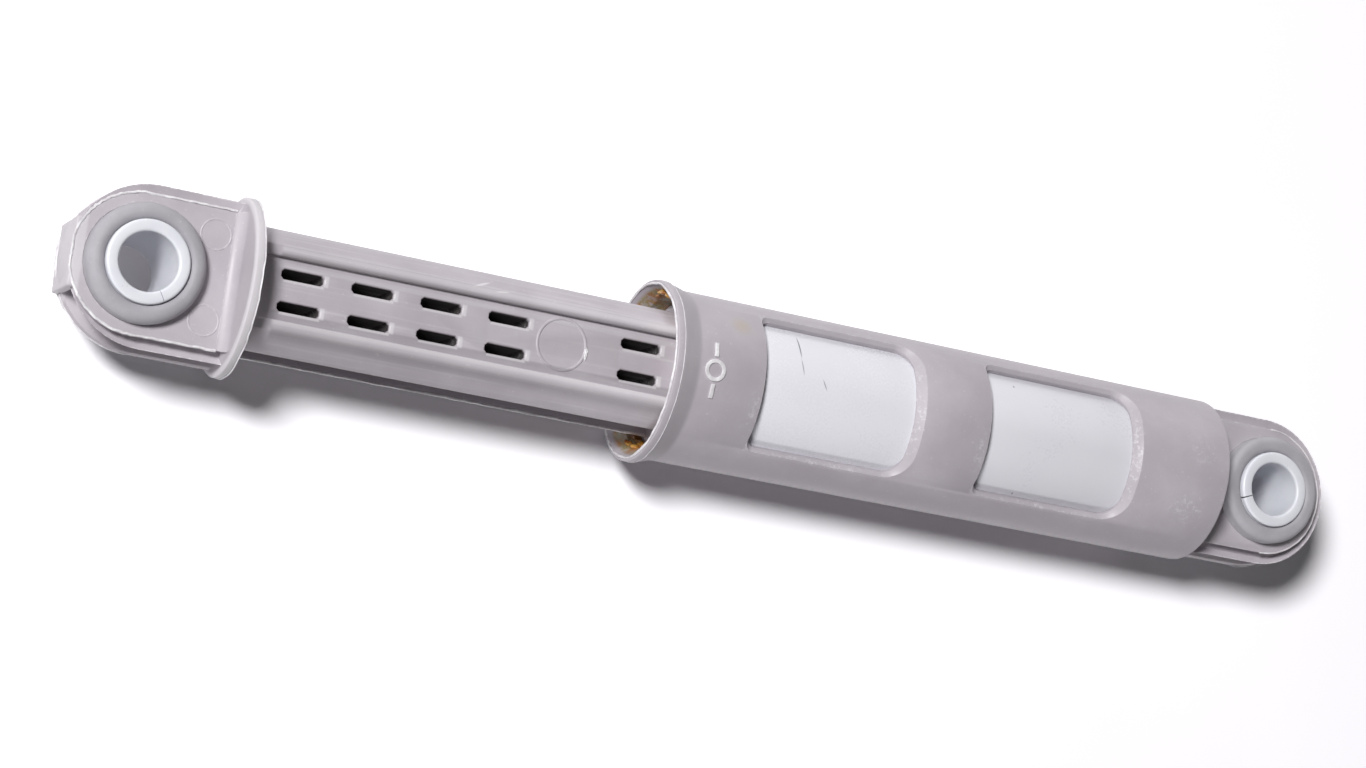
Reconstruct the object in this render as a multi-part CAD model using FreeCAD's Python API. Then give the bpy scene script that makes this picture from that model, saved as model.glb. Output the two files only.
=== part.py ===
# Friction damper of a washing machine: a moulded tube with an eye at its closed end, and a rod with
# an eye of its own that slides in the tube against a greased foam ring.
# Millimetres. The origin is the centre of the tube's eye. +X runs along the damper to the rod's eye,
# +Z runs along both eyes' bores. The damper is drawn out to its full length.
import FreeCAD, Part
import os
from math import asin, cos, degrees, pi

Vector = FreeCAD.Vector
along = Vector(1, 0, 0)
up = Vector(0, 0, 1)

# Places along the damper
eye_spacing = 259.3
tube_start = 16.8
tube_mouth = 151.2
end_wall = 3.0

# Tube and its flared mouth
tube_radius = 18.0
tube_wall = 2.0
flare_length = 5.6
flare_rise = 1.2
lip_length = 1.6
lead_in_length = 3.2
lead_in_rise = 2.4

# Two windows along the top of the tube
window_length = 36.2
window_width = 26.4
window_pitch = 53.5
window_from_mouth = 20.6
window_corner = 4.0
window_chamfer = 1.6

# White liner in the tube
liner_wall = 1.5
liner_clearance = 0.1
liner_from_mouth = 6.5

# Eyelets, alike on the tube and on the rod
plate_half_height = 6.4
plate_half_width = 14.0
plate_bulge = 2.3
bulge_drop = 1.8
groove_half_height = 3.4
groove_floor = 13.5
groove_slope = 0.7
lip_draft = 0.4
tube_end_inset = -0.3
rod_end_inset = 1.8
pocket_web = 5.0
pocket_wall = 1.6
pocket_margin = 2.2
pocket_corner = 1.2

# Solid tip of the rod's eyelet, between the ends of its groove
tip_half_width = 6.1
tip_reach = 14.4
tip_crown = 1.0
tip_draft = 0.6

# Rubber bushes in the eyelets
bush_radius = 11.9
bush_half_height = 10.2
bush_shoulder = 0.6
seat_clearance = 0.05

# Split sleeves in the bushes
sleeve_radius = 8.35
sleeve_bore = 5.9
sleeve_half_height = 10.6
slit_width = 0.45
tube_slit_angle = 20.0
rod_slit_angle = 119.0

# Rod of I-section inside a round envelope
rod_radius = 13.35
ridge_height = 10.3
channel_half_width = 6.3
channel_floor = 8.7
flange_inside = 4.6
rod_web = 11.0
rod_edge_round = 0.45
side_channel_bevel = 0.6

# Deep slots down into the web from the upper channel, in two rows
slot_length = 8.7
slot_width = 2.0
slot_depth = 14.0
slot_row = 3.25
slot_pitch = 14.6
slot_corner = 0.55
first_slot_from_collar = 6.3
slot_columns = (0, 1, 2, 3, 5)

# Collar where the rod meets its eyelet
collar_from_eye = 20.6
collar_radius = 18.1
collar_thickness = 1.9
collar_bevel = 0.4
collar_fillet = 2.4

# Piston at the rod's inner end, and the foam ring between its lands
land_from_mouth = 5.0
front_land = 2.5
rear_land = 3.0
land_clearance = 0.3
foam_length = 13.6
foam_end_gap = 0.3
foam_wall_clearance = 0.15
foam_core_clearance = 0.1
foam_groove_depth = 3.1

# Shared places worked out from the sizes above
bore_radius = tube_radius - tube_wall
liner_outside = bore_radius - liner_clearance
liner_inside = liner_outside - liner_wall
liner_end = tube_mouth - liner_from_mouth
land_radius = liner_inside - land_clearance
piston_core = land_radius - foam_groove_depth
collar_face = eye_spacing - collar_from_eye
front_land_face = tube_mouth - land_from_mouth
foam_groove_end = front_land_face - front_land
foam_groove_start = foam_groove_end - foam_length - 2 * foam_end_gap
rod_tail = foam_groove_start - rear_land
bush_bore = sleeve_radius + seat_clearance
eyelet_bore = bush_radius + seat_clearance
far = 60.0

# Closeness within which two places count as the same
same = 0.01


def cylinder_x(radius, start, end):
    return Part.makeCylinder(radius, end - start, Vector(start, 0, 0), along)


def cylinder_z(radius, x, y, low, high):
    return Part.makeCylinder(radius, high - low, Vector(x, y, low), up)


def block(low, high):
    return Part.makeBox(high[0] - low[0], high[1] - low[1], high[2] - low[2], Vector(*low))


def line(a, b):
    return Part.makeLine(Vector(*a), Vector(*b))


def arc(a, middle, b):
    return Part.Arc(Vector(*a), Vector(*middle), Vector(*b)).toShape()


def closed_face(edges):
    return Part.Face(Part.Wire(edges))


def outline(points):
    return [line(a, b) for a, b in zip(points, points[1:] + points[:1])]


def turned(edges, axis, degrees=360.0, centre=Vector(0, 0, 0)):
    return closed_face(edges).revolve(centre, axis, degrees)


def mirrored_in_z(shape):
    return shape.mirror(Vector(0, 0, 0), up)


def upright_edges(shape):
    straight = [e for e in shape.Edges if isinstance(e.Curve, Part.Line)]
    return [e for e in straight if e.tangentAt(e.FirstParameter).cross(up).Length < same]


def lengthwise_edges(shape):
    straight = [e for e in shape.Edges if isinstance(e.Curve, Part.Line)]
    return [e for e in straight if e.tangentAt(e.FirstParameter).cross(along).Length < same]


def eyelet_profile():
    # Half of the eyelet's section: two plates with bulged edges, and the groove between them.
    top = plate_half_height
    bulge = plate_half_width + plate_bulge
    groove = groove_half_height
    upper = [
        (0, 0, top),
        (plate_half_width, 0, top),
        (bulge, 0, top - bulge_drop),
        (bulge - lip_draft, 0, groove),
        (groove_floor, 0, groove - groove_slope),
    ]
    lower = [(x, y, -z) for x, y, z in reversed(upper)]
    return outline(upper + lower)


def eyelet(eye_x, root_x, end_inset):
    # A stretch with straight sides from the root to near the eye, and a rounded end about the eye.
    towards_root = 1 if root_x > eye_x else -1
    centre_x = eye_x + towards_root * end_inset
    half = closed_face(eyelet_profile())
    half.rotate(Vector(0, 0, 0), up, 90)
    side = half.extrude(Vector(root_x - centre_x, 0, 0))
    other_side = side.mirror(Vector(0, 0, 0), Vector(0, 1, 0))
    round_end = turned(eyelet_profile(), up, 180.0)
    round_end.rotate(Vector(0, 0, 0), up, 90 * towards_root)
    whole = side.fuse(other_side).fuse(round_end)
    whole.translate(Vector(centre_x, 0, 0))
    return whole.removeSplitter()


def side_pockets(eye_x, root_x):
    # The groove runs deeper between the bush's boss and the root, on both sides of a central web.
    low_x = min(eye_x, root_x + pocket_margin if root_x < eye_x else eye_x)
    high_x = max(eye_x, root_x - pocket_margin if root_x > eye_x else eye_x)
    height = groove_half_height - groove_slope
    pocket = block((low_x, pocket_web / 2, -height), (high_x, far, height))
    pocket = pocket.makeFillet(pocket_corner, inner_pocket_edges(pocket, root_x))
    boss = cylinder_z(eyelet_bore + pocket_wall, eye_x, 0, -far, far)
    pocket = pocket.cut(boss)
    return pocket.fuse(pocket.mirror(Vector(0, 0, 0), Vector(0, 1, 0)))


def inner_pocket_edges(pocket, root_x):
    # Edges where the pocket's floor meets its end by the root.
    chosen = []
    for edge in upright_edges(pocket):
        place = edge.CenterOfMass
        near_root = abs(place.x - root_x) <= pocket_margin + same
        if near_root and place.y < pocket_web:
            chosen.append(edge)
    return chosen


def eyelet_hole(eye_x):
    return cylinder_z(eyelet_bore, eye_x, 0, -far, far)


def tube_section():
    # Half of the tube's section, from the closed end to the flared mouth.
    mouth = tube_mouth
    lip_radius = tube_radius + flare_rise
    floor = tube_start + end_wall
    return [
        (tube_start, 0, 0),
        (tube_start, 0, tube_radius),
        (mouth - flare_length, 0, tube_radius),
        (mouth - lip_length, 0, lip_radius),
        (mouth, 0, lip_radius),
        (mouth, 0, bore_radius + lead_in_rise),
        (mouth - lead_in_length, 0, bore_radius),
        (floor, 0, bore_radius),
        (floor, 0, 0),
    ]


def window_cut(index):
    # One window's opening: square at the end towards the mouth, rounded at the end towards the eye.
    high_x = tube_mouth - window_from_mouth - index * window_pitch
    low_x = high_x - window_length
    half = window_width / 2
    opening = block((low_x, -half, 0), (high_x, half, far))
    corners = [e for e in upright_edges(opening) if e.CenterOfMass.x < low_x + same]
    return opening.makeFillet(window_corner, corners)


def window_rim(tube, index):
    # Outer edges of one window, apart from the square end.
    high_x = tube_mouth - window_from_mouth - index * window_pitch
    low_x = high_x - window_length
    rim = []
    for edge in tube.Edges:
        points = edge.discretize(5)
        on_outside = all(abs((p.y ** 2 + p.z ** 2) ** 0.5 - tube_radius) < same for p in points)
        in_window = all(low_x - same <= p.x <= high_x + same for p in points)
        square_end = all(abs(p.x - high_x) < same for p in points)
        over_top = all(p.z > 0 and abs(p.y) <= window_width / 2 + same for p in points)
        if on_outside and in_window and over_top and not square_end:
            rim.append(edge)
    return rim


def windows(tube):
    for index in range(2):
        tube = tube.cut(window_cut(index))
        tube = tube.makeChamfer(window_chamfer, window_rim(tube, index))
    return tube


def tube_housing():
    tube = turned(outline(tube_section()), along)
    tube = windows(tube)
    root = tube_start + end_wall / 2
    lug = eyelet(0, root, tube_end_inset)
    lug = lug.cut(side_pockets(0, tube_start))
    body = tube.fuse(lug)
    return body.cut(eyelet_hole(0)).removeSplitter()


def inner_liner():
    start = tube_start + end_wall
    return cylinder_x(liner_outside, start, liner_end).cut(cylinder_x(liner_inside, start, liner_end))


def rubber_bush(eye_x):
    # Ring with bevelled shoulders.
    top = bush_half_height
    upper = [
        (bush_bore, 0, top),
        (bush_radius - bush_shoulder, 0, top),
        (bush_radius, 0, top - bush_shoulder),
    ]
    lower = [(x, y, -z) for x, y, z in reversed(upper)]
    ring = turned(outline(upper + lower), up)
    ring.translate(Vector(eye_x, 0, 0))
    return ring


def split_sleeve(eye_x, slit_angle):
    top = sleeve_half_height
    ring = cylinder_z(sleeve_radius, 0, 0, -top, top)
    ring = ring.cut(cylinder_z(sleeve_bore, 0, 0, -top, top))
    slit = block((0, -slit_width / 2, -far), (far, slit_width / 2, far))
    ring.rotate(Vector(0, 0, 0), up, -slit_angle)
    ring = ring.cut(slit)
    ring.rotate(Vector(0, 0, 0), up, slit_angle)
    ring.translate(Vector(eye_x, 0, 0))
    return ring


def rod_beam():
    # Round envelope with flattened ridges and a shallow channel above and below, and deep side channels.
    start = foam_groove_end
    end = collar_face + collar_thickness
    beam = cylinder_x(rod_radius, start, end)
    half_channel = channel_half_width
    for side in (1, -1):
        flat = block((start, -far, ridge_height), (end, far, far))
        channel = block((start, -half_channel, channel_floor), (end, half_channel, far))
        cut = flat.fuse(channel)
        beam = beam.cut(cut if side == 1 else mirrored_in_z(cut))
    ridge_edges = [e for e in lengthwise_edges(beam) if abs(e.CenterOfMass.z) > channel_floor + same]
    beam = beam.makeFillet(rod_edge_round, ridge_edges)
    trough = block((front_land_face, rod_web / 2, -flange_inside), (collar_face, far, flange_inside))
    trough_corners = [e for e in lengthwise_edges(trough) if e.CenterOfMass.y < rod_web]
    trough = trough.makeChamfer(side_channel_bevel, trough_corners)
    beam = beam.cut(trough)
    return beam.cut(trough.mirror(Vector(0, 0, 0), Vector(0, 1, 0)))


def slot_cut(high_x, y):
    # Oblong with its corners cut off, down from the channel's floor.
    low_x = high_x - slot_length
    low_y = y - slot_width / 2
    high_y = y + slot_width / 2
    cut = slot_corner
    floor = channel_floor - slot_depth
    points = [
        (high_x - cut, low_y, floor),
        (high_x, low_y + cut, floor),
        (high_x, high_y - cut, floor),
        (high_x - cut, high_y, floor),
        (low_x + cut, high_y, floor),
        (low_x, high_y - cut, floor),
        (low_x, low_y + cut, floor),
        (low_x + cut, low_y, floor),
    ]
    return closed_face(outline(points)).extrude(Vector(0, 0, ridge_height - floor))


def rod_slots():
    first = collar_face - first_slot_from_collar
    cuts = []
    for column in slot_columns:
        for row in (slot_row, -slot_row):
            cuts.append(slot_cut(first - column * slot_pitch, row))
    return Part.makeCompound(cuts)


def collar():
    # Flat disc with bevelled edges.
    back = collar_face + collar_thickness
    edge = collar_radius - collar_bevel
    section = [
        (collar_face, 0, 0), (collar_face, 0, collar_radius), (back - collar_bevel, 0, collar_radius),
        (back, 0, edge), (back, 0, 0),
    ]
    return turned(outline(section), along)


def collar_fillets():
    # Hollow fillets where the eyelet's two plates run into the collar.
    back = collar_face + collar_thickness
    plate = plate_half_height
    size = collar_fillet
    inset = size * (1 - cos(pi / 4))
    half = plate_half_width
    corner = (back, -half, plate)
    on_collar = (back, -half, plate + size)
    on_plate = (back + size, -half, plate)
    section = [
        line(corner, on_collar),
        arc(on_collar, (back + inset, -half, plate + inset), on_plate),
        line(on_plate, corner),
    ]
    upper = closed_face(section).extrude(Vector(0, 2 * half, 0))
    return upper.fuse(mirrored_in_z(upper))


def eyelet_tip():
    # Solid end of the rod's eyelet, crowned at mid height and drafted towards the underside.
    top = plate_half_height
    section = [
        (bush_radius, 0, top),
        (tip_reach, 0, top),
        (tip_reach + tip_crown, 0, 0),
        (tip_reach - tip_draft, 0, -top),
        (bush_radius, 0, -top),
    ]
    half_angle = degrees(asin(tip_half_width / tip_reach))
    tip = turned(outline(section), up, 2 * half_angle)
    tip.rotate(Vector(0, 0, 0), up, -half_angle)
    tip.translate(Vector(eye_spacing, 0, 0))
    return tip


def piston():
    # Two lands with the foam ring's groove between them.
    section = [
        (rod_tail, 0, 0),
        (rod_tail, 0, land_radius),
        (foam_groove_start, 0, land_radius),
        (foam_groove_start, 0, piston_core),
        (foam_groove_end, 0, piston_core),
        (foam_groove_end, 0, land_radius),
        (front_land_face, 0, land_radius),
        (front_land_face, 0, 0),
    ]
    return turned(outline(section), along)


def piston_rod():
    beam = rod_beam().cut(rod_slots())
    root = collar_face + collar_thickness
    lug = eyelet(eye_spacing, root, rod_end_inset)
    lug = lug.cut(side_pockets(eye_spacing, root))
    lug = lug.fuse(eyelet_tip())
    whole = beam.fuse(collar()).fuse(lug).fuse(collar_fillets()).fuse(piston())
    return whole.cut(eyelet_hole(eye_spacing)).removeSplitter()


def friction_foam():
    start = foam_groove_start + foam_end_gap
    end = foam_groove_end - foam_end_gap
    outside = cylinder_x(liner_inside - foam_wall_clearance, start, end)
    return outside.cut(cylinder_x(piston_core + foam_core_clearance, start, end))


pieces = {
    "tube_housing": tube_housing(),
    "inner_liner": inner_liner(),
    "tube_eye_bush": rubber_bush(0),
    "tube_eye_sleeve": split_sleeve(0, tube_slit_angle),
    "piston_rod": piston_rod(),
    "rod_eye_bush": rubber_bush(eye_spacing),
    "rod_eye_sleeve": split_sleeve(eye_spacing, rod_slit_angle),
    "friction_foam": friction_foam(),
}

os.makedirs("parts", exist_ok=True)
for name, shape in pieces.items():
    shape.exportStep(f"parts/{name}.step")
    print(name, "valid", shape.isValid(), "solids", len(shape.Solids), "volume", round(shape.Volume, 1))
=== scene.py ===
import math
import bmesh
import bpy
from mathutils import Matrix, Vector


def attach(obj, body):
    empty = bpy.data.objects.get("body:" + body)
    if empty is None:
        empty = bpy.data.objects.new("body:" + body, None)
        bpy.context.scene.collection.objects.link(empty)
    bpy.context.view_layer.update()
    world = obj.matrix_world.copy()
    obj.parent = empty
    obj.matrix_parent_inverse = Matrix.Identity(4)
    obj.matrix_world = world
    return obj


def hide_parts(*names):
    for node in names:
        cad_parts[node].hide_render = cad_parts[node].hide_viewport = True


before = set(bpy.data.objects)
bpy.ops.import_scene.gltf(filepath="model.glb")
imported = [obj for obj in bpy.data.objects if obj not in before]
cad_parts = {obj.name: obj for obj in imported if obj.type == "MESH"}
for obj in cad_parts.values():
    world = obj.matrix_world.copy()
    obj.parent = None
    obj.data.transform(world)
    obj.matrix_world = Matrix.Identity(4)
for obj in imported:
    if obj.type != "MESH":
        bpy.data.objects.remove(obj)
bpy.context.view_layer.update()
mm = 0.001
print("frame loaded:", ", ".join(sorted(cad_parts)))


# picking and editing, as by hand

def toObjectMode():
    if bpy.context.object and bpy.context.object.mode != "OBJECT":
        bpy.ops.object.mode_set(mode="OBJECT")


def clearPick():
    toObjectMode()
    bpy.ops.object.select_all(action="DESELECT")


def makeActive(piece):
    clearPick()
    piece.select_set(True)
    bpy.context.view_layer.objects.active = piece


def inMetres(place):
    return [v * mm for v in place]


def newPiece(addShape, name, **settings):
    clearPick()
    addShape(**settings)
    piece = bpy.context.object
    piece.name = name
    return piece


def applyPlace(piece):
    makeActive(piece)
    bpy.ops.object.transform_apply(location=True, rotation=True, scale=True)


def editPiece(piece, kind="EDGE"):
    makeActive(piece)
    bpy.ops.object.mode_set(mode="EDIT")
    bpy.ops.mesh.select_mode(type=kind)
    bpy.ops.mesh.select_all(action="DESELECT")


def editAll(piece, kind="EDGE"):
    editPiece(piece, kind)
    bpy.ops.mesh.select_all(action="SELECT")


def pickEdges(piece, test):
    live = bmesh.from_edit_mesh(piece.data)
    found = 0
    for edge in live.edges:
        a, b = (v.co / mm for v in edge.verts)
        if test(a, b):
            edge.select_set(True)
            found += 1
    bmesh.update_edit_mesh(piece.data)
    return found


def pickVerts(piece, test):
    live = bmesh.from_edit_mesh(piece.data)
    for vert in live.verts:
        if test(vert.co / mm):
            vert.select_set(True)
    live.select_flush_mode()
    bmesh.update_edit_mesh(piece.data)


def radiusOf(point):
    return math.hypot(point.y, point.z)  # distance from the damper's long axis


def near(value, wanted, slack=0.03):
    return abs(value - wanted) < slack


def bevelEdges(offset, segments):
    bpy.ops.mesh.bevel(offset=offset * mm, segments=segments, affect="EDGES", clamp_overlap=True)


def bevelCorners(offset, segments):
    bpy.ops.mesh.bevel(offset=offset * mm, segments=segments, affect="VERTICES")


def thicken(depth):
    bpy.ops.mesh.extrude_region_move(TRANSFORM_OT_translate=dict(value=(0, 0, depth * mm)))


def wobble(amount, seed):
    bpy.ops.transform.vertex_random(offset=amount * mm, uniform=1.0, normal=0.0, seed=seed)


def mergeAll(distance):
    bpy.ops.mesh.select_all(action="SELECT")
    bpy.ops.mesh.remove_doubles(threshold=distance * mm)


def turnOutwards():
    bpy.ops.mesh.select_all(action="SELECT")
    bpy.ops.mesh.normals_make_consistent(inside=False)


def applyModifier(piece, kind, name, **settings):
    makeActive(piece)
    modifier = piece.modifiers.new(name, kind)
    for key, value in settings.items():
        setattr(modifier, key, value)
    bpy.ops.object.modifier_apply(modifier=modifier.name)


def softenEdges(piece, width, degrees):
    applyModifier(piece, "BEVEL", "softEdges", width=width * mm, segments=2, limit_method="ANGLE",
                  angle_limit=math.radians(degrees))


def smoothShade(piece, degrees=32):
    makeActive(piece)
    bpy.ops.object.shade_smooth_by_angle(angle=math.radians(degrees))


def placePiece(piece, body, material, slotName, *nodes):
    applyPlace(piece)
    piece.data.materials.clear()
    piece.data.materials.append(material)
    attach(piece, body)
    if nodes:
        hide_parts(*nodes)


def copyNode(nodeName, pieceName):
    piece = bpy.data.objects.new(pieceName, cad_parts[nodeName].data.copy())
    bpy.context.scene.collection.objects.link(piece)
    makeActive(piece)
    bpy.ops.mesh.customdata_custom_splitnormals_clear()
    editPiece(piece)
    mergeAll(0.003)
    bpy.ops.mesh.dissolve_limited(angle_limit=math.radians(0.5))
    toObjectMode()
    return piece


# nodes for the finishes

def addNode(tree, kind, **values):
    node = tree.nodes.new(kind)
    for key, value in values.items():
        setattr(node, key, value)
    return node


def put(tree, target, value):
    if isinstance(value, bpy.types.NodeSocket):
        tree.links.new(value, target)
    else:
        target.default_value = value


def mathNode(tree, operation, a, b=0.0, clamp=False):
    node = addNode(tree, "ShaderNodeMath", operation=operation, use_clamp=clamp)
    put(tree, node.inputs[0], a)
    put(tree, node.inputs[1], b)
    return node.outputs[0]


def times(tree, value, *others):
    for other in others:
        value = mathNode(tree, "MULTIPLY", value, other)
    return value


def rangeNode(tree, value, low, high, toLow=0.0, toHigh=1.0):
    node = addNode(tree, "ShaderNodeMapRange", interpolation_type="SMOOTHSTEP")
    put(tree, node.inputs["Value"], value)
    node.inputs["From Min"].default_value = low
    node.inputs["From Max"].default_value = high
    node.inputs["To Min"].default_value = toLow
    node.inputs["To Max"].default_value = toHigh
    return node.outputs["Result"]


def riseMask(tree, value, steps, top=1.0):
    return rangeNode(tree, value, steps[0] * mm, steps[1] * mm, 0.0, top)


def fallMask(tree, value, steps):
    return rangeNode(tree, value, steps[0] * mm, steps[1] * mm, 1.0, 0.0)


def bandMask(tree, value, rise, fall):
    return times(tree, riseMask(tree, value, rise), fallMask(tree, value, fall))


def mixColour(tree, factor, a, b):
    node = addNode(tree, "ShaderNodeMix", data_type="RGBA")
    put(tree, node.inputs["Factor"], factor)
    put(tree, node.inputs["A"], a)
    put(tree, node.inputs["B"], b)
    return node.outputs["Result"]


def noiseNode(tree, coords, scale, detail=3.0, roughness=0.55, stretch=None):
    if stretch:
        mapping = addNode(tree, "ShaderNodeMapping")
        mapping.inputs["Scale"].default_value = stretch
        put(tree, mapping.inputs["Vector"], coords)
        coords = mapping.outputs["Vector"]
    node = addNode(tree, "ShaderNodeTexNoise")
    put(tree, node.inputs["Vector"], coords)
    put(tree, node.inputs["Scale"], scale)
    node.inputs["Detail"].default_value = detail
    node.inputs["Roughness"].default_value = roughness
    return node.outputs["Fac"]


def objectCoords(tree):
    return addNode(tree, "ShaderNodeTexCoord").outputs["Object"]


def axisParts(tree, coords):
    split = addNode(tree, "ShaderNodeSeparateXYZ")
    put(tree, split.inputs[0], coords)
    return split.outputs["X"], split.outputs["Y"], split.outputs["Z"]


def reachNode(tree, y, z):
    squares = mathNode(tree, "ADD", mathNode(tree, "POWER", y, 2.0), mathNode(tree, "POWER", z, 2.0))
    return mathNode(tree, "SQRT", squares)


def spotMask(tree, coords, place, size, turn=0.0, soft=0.35):
    mapping = addNode(tree, "ShaderNodeMapping", vector_type="TEXTURE")  # centres and turns the spot
    mapping.inputs["Location"].default_value = inMetres(place)
    mapping.inputs["Rotation"].default_value = (0, 0, math.radians(turn))
    mapping.inputs["Scale"].default_value = inMetres(size)
    put(tree, mapping.inputs["Vector"], coords)
    length = addNode(tree, "ShaderNodeVectorMath", operation="LENGTH")
    put(tree, length.inputs[0], mapping.outputs["Vector"])
    return rangeNode(tree, length.outputs["Value"], soft, 1.0, 1.0, 0.0)


def newGroup(name, inputs, outputs):
    tree = bpy.data.node_groups.new(name, "ShaderNodeTree")
    for socket, value in inputs.items():
        made = tree.interface.new_socket(socket, in_out="INPUT", socket_type="NodeSocketFloat")
        made.default_value = value
    for socket in outputs:
        tree.interface.new_socket(socket, in_out="OUTPUT", socket_type="NodeSocketFloat")
    given = addNode(tree, "NodeGroupInput").outputs
    return tree, given, addNode(tree, "NodeGroupOutput").inputs


def makeGrainGroup():
    tree, given, result = newGroup(
        "mouldedGrain", {"Fine": 2600.0, "Broad": 70.0}, ["Height", "Gloss", "Tint"])
    coords = objectCoords(tree)
    fine = noiseNode(tree, coords, scale=given["Fine"], detail=4.0, roughness=0.5)
    broad = noiseNode(tree, coords, scale=given["Broad"], detail=5.0, roughness=0.6)
    ripple = noiseNode(tree, coords, scale=300.0, detail=2.0)
    put(tree, result["Height"], mathNode(tree, "ADD", times(tree, fine, 0.35), ripple))
    put(tree, result["Gloss"], mathNode(tree, "ADD", times(tree, broad, 0.7), times(tree, fine, 0.3)))
    put(tree, result["Tint"], rangeNode(tree, broad, 0.3, 0.7))
    return tree


def makeEdgeGroup():
    tree, given, result = newGroup("edgeRub", {"Width": 0.0005, "Breakup": 900.0}, ["Mask"])
    bevel = addNode(tree, "ShaderNodeBevel", samples=6)
    put(tree, bevel.inputs["Radius"], given["Width"])
    geometry = addNode(tree, "ShaderNodeNewGeometry")
    dot = addNode(tree, "ShaderNodeVectorMath", operation="DOT_PRODUCT")
    put(tree, dot.inputs[0], bevel.outputs["Normal"])
    put(tree, dot.inputs[1], geometry.outputs["Normal"])
    turned = rangeNode(tree, dot.outputs["Value"], 0.97, 0.78)
    breakup = noiseNode(tree, objectCoords(tree), scale=given["Breakup"], detail=3.0, roughness=0.5)
    put(tree, result["Mask"], times(tree, turned, rangeNode(tree, breakup, 0.42, 0.62)))
    return tree


def makeScuffGroup():
    tree, given, result = newGroup("scuffs", {"Amount": 0.5}, ["Mask"])
    coords = objectCoords(tree)
    streaks = noiseNode(tree, coords, scale=60.0, detail=6.0, roughness=0.7, stretch=(6.0, 30.0, 30.0))
    lines = rangeNode(tree, streaks, 0.62, 0.72)
    zones = rangeNode(tree, noiseNode(tree, coords, scale=55.0, detail=2.0), 0.5, 0.72)
    specks = rangeNode(tree, noiseNode(tree, coords, scale=1500.0, detail=1.0), 0.7, 0.78)
    both = mathNode(tree, "ADD", times(tree, lines, zones), times(tree, specks, 0.8), True)
    put(tree, result["Mask"], times(tree, both, given["Amount"]))
    return tree


grainGroup = makeGrainGroup()
edgeGroup = makeEdgeGroup()
scuffGroup = makeScuffGroup()


def useGroup(tree, group, **values):
    node = addNode(tree, "ShaderNodeGroup", node_tree=group)
    for key, value in values.items():
        node.inputs[key].default_value = value
    return node.outputs


def newMaterial(name, **sockets):
    material = bpy.data.materials.new(name)
    material.use_nodes = True
    for key, value in sockets.items():
        material.node_tree.nodes["Principled BSDF"].inputs[key].default_value = value
    return material, material.node_tree


def startLook(name, look, edgeWidth=None):
    material, tree = newMaterial(name, **{"Specular IOR Level": look["specular"]})
    grain = useGroup(tree, grainGroup, Fine=look["fine"], Broad=look["broad"])
    colour = mixColour(tree, grain["Tint"], look["dark"], look["light"])
    if edgeWidth:
        edge = useGroup(tree, edgeGroup, Width=edgeWidth * mm, Breakup=look["breakup"])
        colour = mixColour(tree, times(tree, edge["Mask"], look["edge"]), colour, look["worn"])
        scuff = useGroup(tree, scuffGroup, Amount=look["scuff"])
        colour = mixColour(tree, scuff["Mask"], colour, look["worn"])
    rough = rangeNode(tree, grain["Gloss"], 0.3, 0.7, *look["rough"])
    return material, tree, colour, rough, grain["Height"]


def finishLook(material, colour, rough, height, bumpStrength, bumpDepth):
    tree = material.node_tree
    shader = tree.nodes["Principled BSDF"]
    bump = addNode(tree, "ShaderNodeBump")
    bump.inputs["Strength"].default_value = bumpStrength
    bump.inputs["Distance"].default_value = bumpDepth * mm
    put(tree, bump.inputs["Height"], height)
    put(tree, shader.inputs["Base Color"], colour)
    put(tree, shader.inputs["Roughness"], rough)
    put(tree, shader.inputs["Normal"], bump.outputs["Normal"])
    return material


greyTones = dict(
    # the near-black and dark grey tones are painted shade; pale is worn plastic, and on the rod it is also
    # painted highlight
    pale=(0.78, 0.765, 0.785, 1), paintedShade=(0.05, 0.045, 0.05, 1), stain=(0.50, 0.40, 0.26, 1),
    amber=(0.36, 0.15, 0.018, 1), olive=(0.30, 0.24, 0.09, 1),
    neckGrime=(0.20, 0.19, 0.20, 1), slotPaintedShade=(0.03, 0.026, 0.024, 1),
)
greyLook = dict(
    dark=(0.425, 0.39, 0.425, 1), light=(0.49, 0.455, 0.49, 1), worn=greyTones["pale"],
    fine=2600.0, broad=70.0, breakup=900.0, edge=0.7, scuff=0.30, specular=0.45,
    rough=(0.36, 0.56), bump=(0.22, 0.05),
)
tubeWear = dict(
    edgeWidth=0.5,
    rubbed=(  # frosted patches: place, size, strength
        ((25.5, 9.0, 15.0), (6.5, 5.0, 6.0), 0.5),
        ((24.0, -4.0, 17.5), (5.0, 6.5, 4.0), 0.25),
        ((131.8, 7.0, 16.0), (1.4, 7.5, 6.0), 0.4),
        ((78.6, 6.0, 16.5), (1.6, 8.0, 6.0), 0.35),
        ((93.8, 0.0, 15.0), (2.0, 14.5, 8.0), 0.6),
        ((40.2, 0.0, 15.0), (2.0, 14.5, 8.0), 0.6),
        ((112.0, 14.0, 11.3), (20.0, 1.2, 1.6), 0.5),
        ((59.0, 14.0, 11.3), (20.0, 1.2, 1.6), 0.5),
    ),
    stainPlace=(135.8, -10.6, 14.5), stainSize=(3.2, 3.0, 4.0), stain=0.4,
    neckRise=(144.8, 146.0), neckFall=(149.1, 149.6), neckReach=(17.9, 18.0), neckShade=0.3,  # painted shade in the band behind the lip
    wallReach=(17.3, 17.9), mouthStart=(143.0, 144.6), film=0.85, filmGloss=0.22,  # grease inside the mouth
)


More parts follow.
